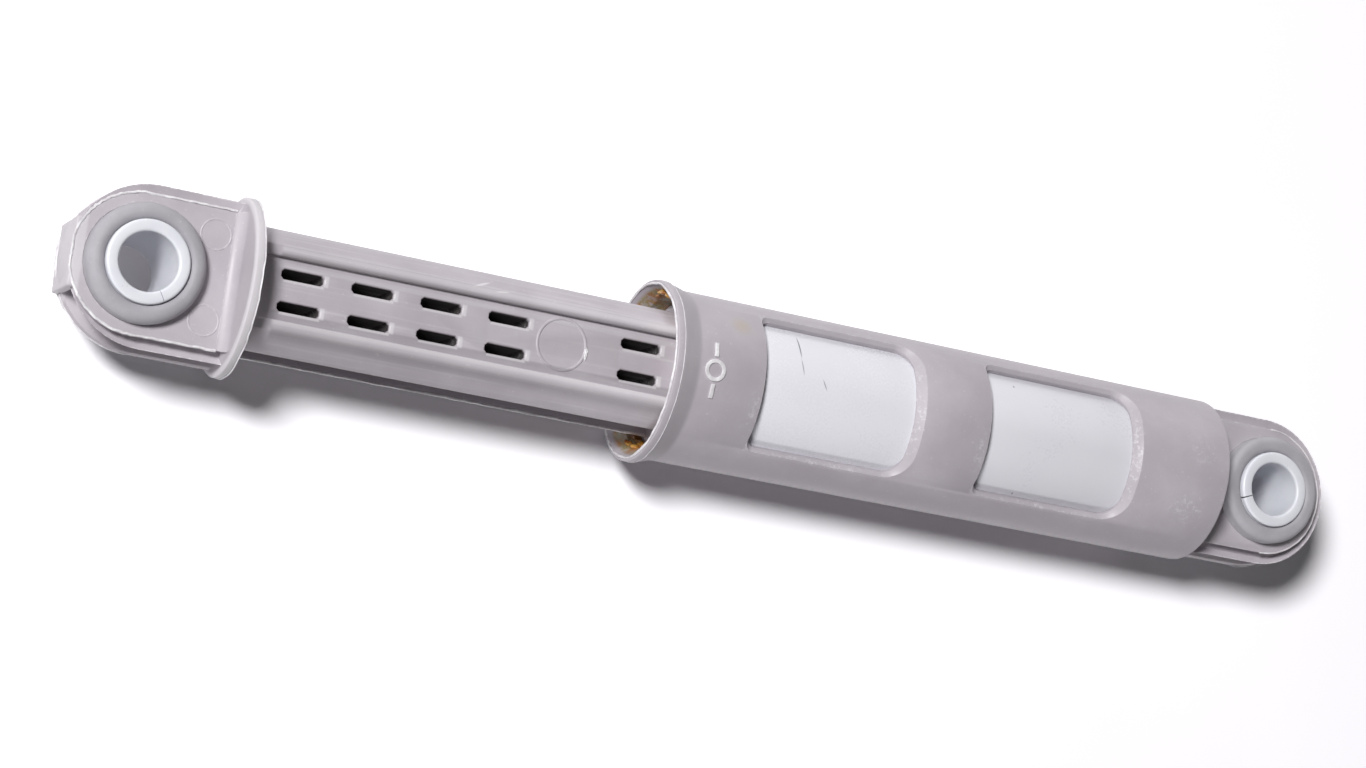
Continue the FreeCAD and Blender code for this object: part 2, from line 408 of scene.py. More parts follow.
def makeTubeGrey():
    w = tubeWear
    material, tree, colour, rough, height = startLook("tubeGrey", greyLook, w["edgeWidth"])
    coords = objectCoords(tree)
    frost = rangeNode(tree, noiseNode(tree, coords, scale=950.0, detail=4.0, roughness=0.7), 0.5, 0.66)
    for place, size, strength in w["rubbed"]:
        patch = times(tree, spotMask(tree, coords, place, size, soft=0.1), frost, strength)
        colour = mixColour(tree, patch, colour, greyTones["pale"])
    stain = spotMask(tree, coords, w["stainPlace"], w["stainSize"], soft=0.0)
    colour = mixColour(tree, times(tree, stain, w["stain"]), colour, greyTones["stain"])
    x, y, z = axisParts(tree, coords)
    reach = reachNode(tree, y, z)
    # painted shade: a darker band behind the lip, where the flare turns away from the light
    neckShade = times(tree, bandMask(tree, x, w["neckRise"], w["neckFall"]),
                 riseMask(tree, reach, w["neckReach"], w["neckShade"]))
    colour = mixColour(tree, neckShade, colour, greyTones["neckGrime"])
    smear = rangeNode(tree, noiseNode(tree, coords, scale=260.0, detail=4.0), 0.36, 0.52)
    film = times(tree, fallMask(tree, reach, w["wallReach"]), riseMask(tree, x, w["mouthStart"]), smear)
    blotch = rangeNode(tree, noiseNode(tree, coords, scale=420.0, detail=3.0), 0.4, 0.6)
    grease = mixColour(tree, blotch, greyTones["olive"], greyTones["amber"])
    colour = mixColour(tree, times(tree, film, w["film"]), colour, grease)
    rough = mathNode(tree, "SUBTRACT", rough, times(tree, film, w["filmGloss"]))
    return finishLook(material, colour, rough, height, *greyLook["bump"])


rodWear = dict(
    edgeWidth=0.4, scratch=0.6,
    scratches=(  # place, size, turn
        ((191.0, -9.2, 10.3), (3.2, 0.35, 2.0), 24.0),
        ((187.0, -8.2, 10.3), (2.0, 0.25, 2.0), 8.0),
    ),
    beforeCollar=(233.0, 234.0), topSide=(2.0, 4.0),
    slotSide=(4.6, 4.9), slotFloor=(-6.2, -5.8), slotTop=(7.6, 8.35), slotShade=0.93,
    streak=0.22, streakBump=0.6, ridgeTop=(9.8, 10.15), ridgeRubAndSheen=0.17,
    shadeAndHighlightBands=(  # painted shade at the ridges' feet and flanks, and painted highlights on their edges: rise, fall, strength, tone
        ((-8.4, -8.1), (-7.7, -7.4), 0.2, "pale"),
        ((-7.4, -6.6), (-6.25, -6.0), 0.5, "paintedShade"),
        ((-5.6, -5.3), (-4.7, -4.3), 0.13, "pale"),
        ((3.9, 4.5), (5.9, 6.15), 0.3, "paintedShade"),
        ((7.2, 8.6), (8.75, 11.2), 0.4, "paintedShade"),
        ((6.1, 6.35), (6.9, 7.5), 0.28, "pale"),
    ),
    rimStart=232.4, rimPitch=14.6, rimHeight=(8.1, 8.4), rim=0.42,  # painted highlight on the slots' mouths, one pitch apart
    bareRise=(163.0, 163.5), bareFall=(175.0, 175.5),  # where a column of slots is missing
    endRise=(8.55, 8.8), endFall=(9.4, 9.9), endSideRise=(1.9, 2.3), endSideFall=(4.2, 4.6),
    lowRims=(((4.2, 4.4), (4.7, 5.0)), ((-2.3, -2.1), (-1.8, -1.5))), lowRise=(0.2, 0.6), lowFall=(8.6, 9.0),
    collarReach=(16.6, 17.4), collarRise=(238.2, 238.6), collarFall=(240.8, 241.2), collarHighlight=0.45,
    tipStart=(270.9, 271.6), tipHighlight=0.3,
)


def makeRodGrey():
    w = rodWear
    pale = greyTones["pale"]
    material, tree, colour, rough, height = startLook("rodGrey", greyLook, w["edgeWidth"])
    coords = objectCoords(tree)
    x, y, z = axisParts(tree, coords)
    aside = mathNode(tree, "ABSOLUTE", y)
    beforeCollar = fallMask(tree, x, w["beforeCollar"])
    for place, size, turn in w["scratches"]:
        mark = times(tree, spotMask(tree, coords, place, size, turn), w["scratch"])
        colour = mixColour(tree, mark, colour, pale)
    # painted shade: the slots' walls are darkened almost to black
    inSlot = times(tree, fallMask(tree, aside, w["slotSide"]), bandMask(tree, z, w["slotFloor"], w["slotTop"]))
    grime = times(tree, inSlot, beforeCollar, w["slotShade"])
    colour = mixColour(tree, grime, colour, greyTones["slotPaintedShade"])
    streaks = noiseNode(tree, coords, scale=900.0, detail=3.0, roughness=0.6, stretch=(0.025, 1.0, 1.0))
    streaks = times(tree, streaks, beforeCollar)
    colour = mixColour(tree, rangeNode(tree, streaks, 0.5, 0.75, 0.0, w["streak"]), colour, pale)
    ridgeRubAndSheen = times(tree, riseMask(tree, z, w["ridgeTop"], w["ridgeRubAndSheen"]), beforeCollar)
    colour = mixColour(tree, ridgeRubAndSheen, colour, pale)  # polished by the sliding, with a painted highlight on the ridge tops
    onTop = times(tree, riseMask(tree, z, w["topSide"]), beforeCollar)
    # painted shade and painted highlight in bands across the top of the rod
    for rise, fall, strength, tone in w["shadeAndHighlightBands"]:
        paintedBand = times(tree, bandMask(tree, y, rise, fall), onTop, strength)
        colour = mixColour(tree, paintedBand, colour, greyTones[tone])
    # painted highlight on the slots' far ends and lower rims, the sides that face the light
    fromCollar = mathNode(tree, "SUBTRACT", w["rimStart"] * mm, x)
    inPitch = mathNode(tree, "MODULO", fromCollar, w["rimPitch"] * mm)
    endRimHighlight = times(tree, bandMask(tree, inPitch, w["endRise"], w["endFall"]),
                   bandMask(tree, aside, w["endSideRise"], w["endSideFall"]))
    lowRimHighlight = mathNode(tree, "ADD", *(bandMask(tree, y, rise, fall) for rise, fall in w["lowRims"]))
    lowRimHighlight = times(tree, lowRimHighlight, bandMask(tree, inPitch, w["lowRise"], w["lowFall"]))
    bare = bandMask(tree, x, w["bareRise"], w["bareFall"])
    slotRimHighlight = times(tree, mathNode(tree, "MAXIMUM", endRimHighlight, lowRimHighlight), onTop,
                    rangeNode(tree, bare, 0.0, 1.0, w["rim"], 0.0), riseMask(tree, z, w["rimHeight"]))
    colour = mixColour(tree, slotRimHighlight, colour, pale)
    # painted highlight on the collar's rim
    collarRimHighlight = times(tree, riseMask(tree, reachNode(tree, y, z), w["collarReach"]),
                      bandMask(tree, x, w["collarRise"], w["collarFall"]), w["collarHighlight"])
    colour = mixColour(tree, collarRimHighlight, colour, pale)
    # painted highlight: the eyelet's tip is made lighter as a whole
    colour = mixColour(tree, riseMask(tree, x, w["tipStart"], w["tipHighlight"]), colour, pale)
    height = mathNode(tree, "ADD", height, times(tree, streaks, w["streakBump"]))
    return finishLook(material, colour, rough, height, *greyLook["bump"])


linerLook = dict(
    dark=(0.73, 0.724, 0.775, 1), light=(0.755, 0.749, 0.795, 1), fine=1800.0, broad=45.0, specular=0.5,
    rough=(0.22, 0.36), bump=(0.04, 0.03), markTone=(0.16, 0.16, 0.18, 1), markSoft=0.5,
    marks=(  # hairline scratches and specks: place, size, turn, strength
        ((121.5, -9.0, 13.0), (0.2, 3.2, 5.0), 4.0, 0.9),
        ((121.1, -4.6, 15.2), (0.15, 2.2, 5.0), 10.0, 0.7),
        ((115.9, -1.7, 15.8), (0.16, 1.5, 3.0), 25.0, 0.75),
        ((69.5, -10.3, 12.1), (0.30, 0.30, 2.0), 0.0, 0.6),
        ((66.0, 12.2, 10.2), (0.28, 0.28, 2.0), 0.0, 0.6),
    ),
)


def makeLinerWhite():
    look = linerLook
    material, tree, colour, rough, height = startLook("linerWhite", look)
    coords = objectCoords(tree)
    for place, size, turn, strength in look["marks"]:
        mark = times(tree, spotMask(tree, coords, place, size, turn, look["markSoft"]), strength)
        colour = mixColour(tree, mark, colour, look["markTone"])
    return finishLook(material, colour, rough, height, *look["bump"])


sleeveLook = dict(
    dark=(0.71, 0.72, 0.775, 1), light=(0.76, 0.77, 0.815, 1), fine=2200.0, broad=160.0, specular=0.5,
    rough=(0.30, 0.46), bump=(0.12, 0.04), speckTone=(0.42, 0.42, 0.44, 1), speck=0.4,
)


def makeSleeveWhite():
    look = sleeveLook
    material, tree, colour, rough, height = startLook("sleeveWhite", look)
    specks = rangeNode(tree, noiseNode(tree, objectCoords(tree), scale=1300.0, detail=1.0), 0.74, 0.8)
    colour = mixColour(tree, times(tree, specks, look["speck"]), colour, look["speckTone"])
    return finishLook(material, colour, rough, height, *look["bump"])


rubberLook = dict(
    dark=(0.365, 0.352, 0.38, 1), light=(0.43, 0.417, 0.447, 1), worn=(0.62, 0.62, 0.64, 1),
    fine=3200.0, broad=140.0, breakup=700.0, edge=0.25, edgeWidth=0.5, scuff=0.25, specular=0.35,
    rough=(0.50, 0.72), bump=(0.3, 0.05),
)
flashLook = dict(
    dark=(0.60, 0.575, 0.60, 1), light=(0.86, 0.85, 0.87, 1), fine=2600.0, broad=420.0, specular=0.5,
    rough=(0.32, 0.5), bump=(0.2, 0.04),
)


def makePlainLook(name, look):
    material, tree, colour, rough, height = startLook(name, look, look.get("edgeWidth"))
    return finishLook(material, colour, rough, height, *look["bump"])


greaseLook = dict(dark=(0.30, 0.10, 0.012, 1), light=(0.55, 0.30, 0.05, 1), coat=0.6, coatRough=0.15,
                  rough=(0.22, 0.42), bump=(0.4, 0.15))


def makeGreaseAmber():
    look = greaseLook
    material, tree = newMaterial(
        "greaseAmber", **{"Coat Weight": look["coat"], "Coat Roughness": look["coatRough"]})
    coords = objectCoords(tree)
    blotch = rangeNode(tree, noiseNode(tree, coords, scale=520.0, detail=4.0), 0.36, 0.64)
    colour = mixColour(tree, blotch, look["dark"], look["light"])
    rough = rangeNode(tree, blotch, 0.0, 1.0, *look["rough"])
    return finishLook(material, colour, rough, noiseNode(tree, coords, scale=900.0), *look["bump"])


foamLook = dict(dark=(0.16, 0.07, 0.012, 1), light=(0.42, 0.22, 0.05, 1), cells=1100.0, specular=0.3,
                rough=(0.45, 0.8), bump=(0.7, 0.3))


def makeFoamAmber():
    look = foamLook
    material, tree = newMaterial("foamAmber", **{"Specular IOR Level": look["specular"]})
    coords = objectCoords(tree)
    cells = addNode(tree, "ShaderNodeTexVoronoi")
    cells.inputs["Scale"].default_value = look["cells"]
    put(tree, cells.inputs["Vector"], coords)
    walls = cells.outputs["Distance"]
    colour = mixColour(tree, rangeNode(tree, walls, 0.1, 0.6), look["dark"], look["light"])
    rough = rangeNode(tree, noiseNode(tree, coords, scale=300.0), 0.3, 0.7, *look["rough"])
    return finishLook(material, colour, rough, walls, *look["bump"])


tubeGrey = makeTubeGrey()
rodGrey = makeRodGrey()
linerWhite = makeLinerWhite()
sleeveWhite = makeSleeveWhite()
bushRubber = makePlainLook("bushRubber", rubberLook)
flashPale = makePlainLook("flashPale", flashLook)
greaseAmber = makeGreaseAmber()
foamAmber = makeFoamAmber()
print("finishes made:", len(bpy.data.materials))


# thin seams of moulding flash, lifted from edges of a moulding

seamShape = dict(merge=0.01, longest=2.4, cuts=3, sweeps=3, shade=60)
seamLooks = dict(  # thickness, wobble, seed
    tubeFlashTop=(0.17, 0.07, 3), tubeFlashLow=(0.17, 0.07, 5), mouthFlash=(0.27, 0.11, 7),
    lipFlash=(0.08, 0.04, 9), rodFlashMiddle=(0.17, 0.07, 13), collarFlash=(0.15, 0.08, 17),
    rodFlashLow=(0.32, 0.06, 19), rodFaceTopFlash=(0.29, 0.1, 11), rodFaceLowFlash=(0.29, 0.1, 12),
)


def flashSeam(source, name, test):
    s = seamShape
    thickness, shake, seed = seamLooks[name]
    editPiece(source)
    if not pickEdges(source, test):
        raise ValueError("no edges for " + name)
    bpy.ops.mesh.duplicate()
    bpy.ops.mesh.separate(type="SELECTED")
    toObjectMode()
    seam = [o for o in bpy.context.selected_objects if o != source][0]
    seam.name = name
    editPiece(seam)
    mergeAll(s["merge"])
    for sweep in range(s["sweeps"]):  # even steps along the long straight runs
        editPiece(seam)
        if pickEdges(seam, lambda a, b: (a - b).length > s["longest"]):
            bpy.ops.mesh.subdivide(number_cuts=s["cuts"])
    bpy.ops.mesh.select_all(action="SELECT")
    wobble(shake, seed)
    toObjectMode()
    bpy.ops.object.convert(target="CURVE")
    seam.data.bevel_depth = thickness * mm
    seam.data.bevel_resolution = 1
    seam.data.use_fill_caps = True
    bpy.ops.object.convert(target="MESH")
    seam = bpy.context.object
    smoothShade(seam, s["shade"])
    return seam


# tube with its windows, flared mouth and eyelet

tubeShape = dict(
    start=16.8, mouth=151.2, outer=18.0, lipOuter=19.2, lipInner=18.4, lipLength=1.6, flareStart=145.6,
    windowEnds=(130.6, 77.1), windowHalf=13.2, windowLength=36.2, windowRound=4.0, bore=16.0, wallSlope=0.5,
    eyeMiddle=-0.3, plateHalf=14.0, plateTop=6.4, bulge=16.3, bulgeTop=4.6,
    startRound=0.6, mouthRound=0.28, lipRound=0.6, flareRound=0.5, softEdge=0.22,
)
grooveShape = dict(land=0.65, depth=1.8, slope=0.788, low=4.5, high=6.45)


def onRing(x, radius):
    return lambda a, b: all(near(p.x, x) and near(radiusOf(p), radius, 0.06) for p in (a, b))


def onPlateEdge(middle, side, half, height, root):
    def test(a, b):
        for p in (a, b, (a + b) / 2):
            if not near(p.z, height):
                return False
            beyond = (p.x - middle) * side
            reach = abs(p.y) if beyond < 0 else math.hypot(p.x - middle, p.y)
            if not near(reach, half, 0.12) or (p.x - root) * side < 0.05:
                return False
        return True
    return test


def bevelRings(piece, *rings):
    for x, radius, offset, segments in rings:
        editPiece(piece)
        pickEdges(piece, onRing(x, radius))
        bevelEdges(offset, segments)


def cutSideGrooves(piece, root, side):
    s = grooveShape
    editPiece(piece, "FACE")
    live = bmesh.from_edit_mesh(piece.data)
    for face in live.faces:
        heights = [abs(v.co.z / mm) for v in face.verts]
        beyond = (face.calc_center_median().x / mm - root) * side
        between = min(heights) > s["low"] and max(heights) < s["high"]
        if near(abs(face.normal.z), s["slope"]) and beyond > 0 and between:
            face.select_set(True)
    bmesh.update_edit_mesh(piece.data)
    bpy.ops.mesh.inset(thickness=s["land"] * mm, depth=-s["depth"] * mm, use_even_offset=True,
                       use_boundary=True)
    toObjectMode()


def slopeWindowWalls(tube):
    s = tubeShape
    slack = 0.05
    straight = s["windowHalf"] - s["windowRound"]
    feet = []
    for vert in tube.data.vertices:
        p = vert.co / mm
        inWindow = any(end - s["windowLength"] - slack < p.x < end + slack for end in s["windowEnds"])
        onBore = near(radiusOf(p), s["bore"], slack)
        if inWindow and onBore and p.z > 0 and abs(p.y) > straight + slack:
            feet.append(p)
    for foot in feet:
        reach = abs(foot.y) - s["wallSlope"] * (abs(foot.y) - straight) / s["windowRound"]
        lift = math.sqrt(s["bore"] ** 2 - reach ** 2) - foot.z
        editPiece(tube, "VERT")
        pickVerts(tube, lambda p: (p - foot).length < 0.01)
        bpy.ops.transform.translate(value=(0, (math.copysign(reach, foot.y) - foot.y) * mm, lift * mm))
        toObjectMode()
    print("window walls:", len(feet), "feet drawn in")


def makeTube():
    s = tubeShape
    tube = copyNode("tube_housing", "tubeShell")
    slopeWindowWalls(tube)
    seams = []
    for name, half, height in (("tubeFlashTop", s["plateHalf"], s["plateTop"]),
                               ("tubeFlashLow", s["bulge"], -s["bulgeTop"])):
        seams.append(flashSeam(tube, name, onPlateEdge(s["eyeMiddle"], -1, half, height, s["start"])))
    cutSideGrooves(tube, s["start"], -1)
    lipBack = s["mouth"] - s["lipLength"]
    seams.append(flashSeam(tube, "mouthFlash", onRing(s["mouth"], s["lipInner"])))
    seams.append(flashSeam(tube, "lipFlash", onRing(lipBack, s["lipOuter"])))
    bevelRings(
        tube,
        (s["start"], s["outer"], s["startRound"], 4),
        (s["mouth"], s["lipOuter"], s["mouthRound"], 2),
        (s["mouth"], s["lipInner"], s["mouthRound"], 2),
        (lipBack, s["lipOuter"], s["lipRound"], 3),
        (s["flareStart"], s["outer"], s["flareRound"], 2),
    )
    softenEdges(tube, s["softEdge"], 30)
    smoothShade(tube)
    placePiece(tube, "housing", tubeGrey, "moulded_grey", "tube_housing")
    for seam in seams:
        placePiece(seam, "housing", flashPale, "moulded_grey")
    print("tube shell:", len(tube.data.polygons), "faces")
    return tube


tubeShell = makeTube()


# white liner behind the windows

def makeLiner():
    liner = copyNode("inner_liner", "linerShell")
    softenEdges(liner, 0.2, 40)
    smoothShade(liner)
    placePiece(liner, "housing", linerWhite, "liner_white", "inner_liner")
    print("liner:", len(liner.data.polygons), "faces")


makeLiner()


# rounded fillets in the corners of the windows' square ends

aboveTube = 20  # height from which shapes are laid onto the tube
cornerShape = dict(innerHalf=13.2, innerRound=2.8, innerReach=16.95, outerHalf=14.235, outerRound=2.2,
                   outerReach=17.98, outerLeast=17.6, overlap=0.05, depth=1.3)


def makeGuide(name, radius):
    return newPiece(bpy.ops.mesh.primitive_cylinder_add, name, vertices=256, radius=radius * mm, depth=0.16,
                    location=(0.08, 0, 0), rotation=(0, math.pi / 2, 0))


def layOn(piece, guide, upwardsToo=False):
    applyModifier(piece, "SHRINKWRAP", "layOn", target=guide, wrap_method="PROJECT", use_project_z=True,
                  use_negative_direction=True, use_positive_direction=upwardsToo)


def cornerArc(name, end, side, half, rounding):
    centre = Vector((end - rounding, side * (half - rounding), aboveTube))
    arc = newPiece(bpy.ops.mesh.primitive_circle_add, name, vertices=64, radius=rounding * mm,
                   location=centre * mm)
    applyPlace(arc)
    editPiece(arc, "VERT")
    pickVerts(arc, lambda p: p.x < centre.x - 0.01 or (p.y - centre.y) * side < -0.01)
    bpy.ops.mesh.delete(type="VERT")
    toObjectMode()
    return arc


def makeWindowCorner(name, end, side, innerGuide, outerGuide):
    s = cornerShape
    outerEnd = end + s["overlap"]
    corner = cornerArc(name, outerEnd, side, s["outerHalf"], s["outerRound"])
    editAll(corner, "VERT")
    bpy.ops.mesh.extrude_edges_move()
    bpy.ops.transform.resize(value=(0.02, 0.02, 1),  # drawn together at the square corner
                             center_override=inMetres((outerEnd, side * s["outerHalf"], aboveTube)))
    layOn(corner, outerGuide)
    inner = cornerArc(name + "Inner", end, side, s["innerHalf"], s["innerRound"])
    layOn(inner, innerGuide)
    makeActive(corner)
    inner.select_set(True)
    bpy.ops.object.join()
    middle = Vector((outerEnd - s["outerRound"], side * (s["outerHalf"] - s["outerRound"]), 0))

    def onInner(p):
        return near(radiusOf(p), s["innerReach"], 0.2)

    def onOuter(p):
        onArc = near(math.hypot(p.x - middle.x, p.y - middle.y), s["outerRound"], 0.02)
        return onArc and radiusOf(p) > s["outerLeast"]

    editPiece(corner)
    pickEdges(corner, lambda a, b: (onInner(a) and onInner(b)) or (onOuter(a) and onOuter(b)))
    bpy.ops.mesh.bridge_edge_loops()
    mergeAll(0.001)
    turnOutwards()
    thicken(-s["depth"])
    turnOutwards()
    smoothShade(corner, 50)
    placePiece(corner, "housing", tubeGrey, "moulded_grey")


guides = makeGuide("innerGuide", cornerShape["innerReach"]), makeGuide("outerGuide", cornerShape["outerReach"])
for windowIndex, windowEnd in enumerate(tubeShape["windowEnds"]):
    for sideName, side in (("Upper", -1), ("Lower", 1)):
        makeWindowCorner("windowCorner" + sideName + str(windowIndex), windowEnd, side, *guides)
for guide in guides:
    bpy.data.objects.remove(guide)
print("window corners made")


# rod with its slots, collar and eyelet

rodShape = dict(
    collarFace=238.7, collarBack=240.6, collarRadius=18.1, collarEdge=17.7, collarRound=0.35,
    eye=259.3, eyeMiddle=257.5, bulge=16.3, bulgeTop=4.6, flangeSide=12.53, flangeEdge=4.6,
    channelFloor=8.7, slotReach=4.4, slotRound=0.42, softEdge=0.2,
)


def roundSlotMouths(rod):
    s = rodShape
    editPiece(rod)
    live = bmesh.from_edit_mesh(rod.data)
    for edge in live.edges:
        places = [v.co / mm for v in edge.verts]
        atFloor = all(near(p.z, s["channelFloor"]) and abs(p.y) < s["slotReach"] for p in places)
        if atFloor and edge.calc_face_angle(0) > 1.0:
            edge.select_set(True)
    bmesh.update_edit_mesh(rod.data)
    bevelEdges(s["slotRound"], 3)


def makeRod():
    s = rodShape
    rod = copyNode("piston_rod", "rodShell")

    def onFlangeEdge(a, b):
        return all(near(abs(p.y), s["flangeSide"]) and near(p.z, -s["flangeEdge"]) for p in (a, b))

    lowEdge = onPlateEdge(s["eyeMiddle"], 1, s["bulge"], -s["bulgeTop"], s["collarBack"])
    seams = [flashSeam(rod, "rodFlashMiddle", lowEdge)]
    cutSideGrooves(rod, s["collarBack"], 1)
    seams.append(flashSeam(rod, "collarFlash", onRing(s["collarFace"], s["collarRadius"])))
    seams.append(flashSeam(rod, "rodFlashLow", onFlangeEdge))
    bevelRings(rod, (s["collarFace"], s["collarRadius"], s["collarRound"], 2),
               (s["collarBack"], s["collarEdge"], s["collarRound"], 2))
    roundSlotMouths(rod)
    softenEdges(rod, s["softEdge"], 30)
    smoothShade(rod)
    placePiece(rod, "rod", rodGrey, "moulded_grey", "piston_rod")
    for seam in seams:
        placePiece(seam, "rod", flashPale, "moulded_grey")
    print("rod shell:", len(rod.data.polygons), "faces")


makeRod()


# flat faces of the rod's eyelet, reaching out to a flat tip

faceShape = dict(middle=259.8, half=14.0, tip=273.45, root=242.6, hole=12.0, top=6.44, low=3.6, rimRound=0.3,
                 tipInner=271.4, tipHalf=6.9, tipTop=6.3, tipRound=0.4)


def makeEyeletFace(name, side):
    s = faceShape
    level = side * s["top"]
    face = newPiece(bpy.ops.mesh.primitive_circle_add, name, vertices=128, radius=s["half"] * mm,
                    location=inMetres((s["middle"], 0, level)))
    applyPlace(face)
    editPiece(face, "VERT")
    pickVerts(face, lambda p: p.x < s["middle"] - 0.01)
    bpy.ops.mesh.delete(type="VERT")
    editPiece(face, "VERT")
    pickVerts(face, lambda p: p.x < s["middle"] + 0.01)
    backwards = dict(value=((s["root"] - s["middle"]) * mm, 0, 0))
    bpy.ops.mesh.extrude_vertices_move(TRANSFORM_OT_translate=backwards)
    bpy.ops.mesh.edge_face_add()
    editPiece(face, "VERT")
    pickVerts(face, lambda p: p.x > s["tip"])
    bpy.ops.transform.resize(value=(0, 1, 1), center_override=(s["tip"] * mm, 0, 0))
    bpy.ops.mesh.primitive_circle_add(vertices=112, radius=s["hole"] * mm,
                                      location=inMetres((rodShape["eye"], 0, level)))
    bpy.ops.mesh.select_all(action="SELECT")
    bpy.ops.mesh.fill()
    thicken(side * (s["low"] - s["top"]))
    turnOutwards()

    def onRim(a, b):
        for p in (a, b, (a + b) / 2):
            reach = abs(p.y) if p.x < s["middle"] else math.hypot(p.x - s["middle"], p.y)
            if not near(p.z, level) or not (near(p.x, s["tip"]) or near(reach, s["half"], 0.05)):
                return False
        return True

    seam = flashSeam(face, name + "Flash", onRim)
    editPiece(face)
    pickEdges(face, onRim)
    bevelEdges(s["rimRound"], 2)
    smoothShade(face)
    placePiece(face, "rod", rodGrey, "moulded_grey")
    placePiece(seam, "rod", flashPale, "moulded_grey")


def makeTip():
    s = faceShape
    tip = newPiece(bpy.ops.mesh.primitive_cube_add, "rodTip", size=1,
                   location=((s["tipInner"] + s["tip"]) / 2 * mm, 0, 0))
    tip.scale = inMetres((s["tip"] - s["tipInner"], 2 * s["tipHalf"], 2 * s["tipTop"]))
    applyPlace(tip)
    editAll(tip)
    bevelEdges(s["tipRound"], 3)
    smoothShade(tip)
    placePiece(tip, "rod", rodGrey, "moulded_grey")


makeEyeletFace("rodFaceTop", 1)
makeEyeletFace("rodFaceLow", -1)
makeTip()
print("rod eyelet's faces made")


# rubber bushes and split sleeves, turned about each eye

bushShape = dict(inner=8.40, outer=11.9, half=10.2, innerRound=1.2, steps=112)
sleeveShape = dict(inner=5.9, outer=8.35, half=10.6, round=0.55, steps=104)


def addSection(name, shape, eyeX):
    middle = (shape["inner"] + shape["outer"]) / 2
    section = newPiece(bpy.ops.mesh.primitive_plane_add, name, size=1, location=((eyeX + middle) * mm, 0, 0))
    section.scale = ((shape["outer"] - shape["inner"]) * mm, 2 * shape["half"] * mm, 1)
    section.rotation_euler = (math.pi / 2, 0, 0)
    applyPlace(section)
    return section


def spinSection(eyeX, degrees, steps):
    bpy.ops.mesh.spin(steps=steps, angle=math.radians(degrees), center=(eyeX * mm, 0, 0), axis=(0, 0, 1))
    mergeAll(0.004)
    turnOutwards()
    toObjectMode()


def makeBush(name, node, eyeX, body, outerRound):
    s = bushShape
    bush = addSection(name, s, eyeX)
    for reach, rounding, segments in ((s["outer"], outerRound, 7), (s["inner"], s["innerRound"], 4)):
        editPiece(bush, "VERT")
        pickVerts(bush, lambda p: near(p.x, eyeX + reach))
        bevelCorners(rounding, segments)
    bpy.ops.mesh.select_all(action="SELECT")
    bpy.ops.mesh.delete(type="ONLY_FACE")
    editAll(bush, "EDGE")
    spinSection(eyeX, 360, s["steps"])
    smoothShade(bush, 50)
    placePiece(bush, body, bushRubber, "bush_rubber", node)
    print(name, len(bush.data.polygons), "faces")


def makeSleeve(name, node, eyeX, body, slitDegrees, slitWidth):
    s = sleeveShape
    sleeve = addSection(name, s, eyeX)
    editAll(sleeve, "VERT")
    bevelCorners(s["round"], 3)
    gap = math.degrees(slitWidth / ((s["inner"] + s["outer"]) / 2))
    editAll(sleeve, "FACE")
    bpy.ops.transform.rotate(value=-math.radians(slitDegrees + gap / 2), orient_axis="Z", orient_type="GLOBAL",
                             center_override=(eyeX * mm, 0, 0))
    spinSection(eyeX, 360 - gap, s["steps"])
    smoothShade(sleeve, 40)
    placePiece(sleeve, body, sleeveWhite, "sleeve_white", node)
    print(name, len(sleeve.data.polygons), "faces")


makeBush("tubeBush", "tube_eye_bush", 0.0, "housing", outerRound=1.5)
makeBush("rodBush", "rod_eye_bush", rodShape["eye"], "rod", outerRound=2.1)
makeSleeve("tubeSleeve", "tube_eye_sleeve", 0.0, "housing", slitDegrees=20.0, slitWidth=0.26)
makeSleeve("rodSleeve", "rod_eye_sleeve", rodShape["eye"], "rod", slitDegrees=119.0, slitWidth=0.12)


# foam ring keeps its own solid
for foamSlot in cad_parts["friction_foam"].material_slots:
    foamSlot.material = foamAmber


# round ejector marks on the rod

ringMarks = (
    dict(name="pinMarkUpper", centre=(246.0, -8.6, 6.44), radius=3.05, thickness=0.22, proud=0.1),
    dict(name="pinMarkLower", centre=(246.0, 8.6, 6.44), radius=3.05, thickness=0.22, proud=0.1),
    dict(name="channelMark", centre=(172.4, -0.4, 8.7), radius=5.3, thickness=0.34, proud=0.2),
)
nibShape = dict(name="channelNib", place=(167.0, 0.5, 8.7), size=(0.45, 1.5, 0.32), wobble=0.1, seed=4)


def makeRingMark(mark):
    centre = inMetres(mark["centre"])
    ring = newPiece(bpy.ops.mesh.primitive_torus_add, mark["name"], location=centre,
                    major_radius=mark["radius"] * mm, minor_radius=mark["thickness"] * mm,
                    major_segments=64, minor_segments=8)
    editAll(ring, "VERT")
    bpy.ops.transform.resize(value=(1, 1, mark["proud"] / mark["thickness"]), center_override=centre)
    smoothShade(ring, 60)
    placePiece(ring, "rod", rodGrey, "moulded_grey")


def addLump(name, place, size, turn=0.0):
    lump = newPiece(bpy.ops.mesh.primitive_ico_sphere_add, name, subdivisions=3, radius=1 * mm)
    lump.scale = size
    lump.location = inMetres(place)
    lump.rotation_euler = (turn, 0, 0)
    applyPlace(lump)
    editAll(lump, "VERT")
    return lump


def makeNib():
    s = nibShape
    nib = addLump(s["name"], s["place"], s["size"])
    wobble(s["wobble"], s["seed"])
    smoothShade(nib, 60)
    placePiece(nib, "rod", flashPale, "moulded_grey")


for mark in ringMarks:
    makeRingMark(mark)
makeNib()
print("ejector marks made")


# generic raised mark by the mouth: a bar, a ring and a bar

markShape = dict(x=142.0, bars=(-4.0, 4.5), barWidth=0.85, barLength=2.9, ringRadius=1.9, ringWidth=0.8,
                 proud=0.34, sunk=0.15, topRound=0.09)


def wrapOnTube(piece):
    s = markShape
    layOn(piece, tubeShell, upwardsToo=True)
    height = s["proud"] + s["sunk"]
    applyModifier(piece, "SOLIDIFY", "raise", thickness=height * mm, offset=(s["proud"] - s["sunk"]) / height)
    softenEdges(piece, s["topRound"], 40)
    smoothShade(piece, 50)
    placePiece(piece, "housing", flashPale, "moulded_grey")


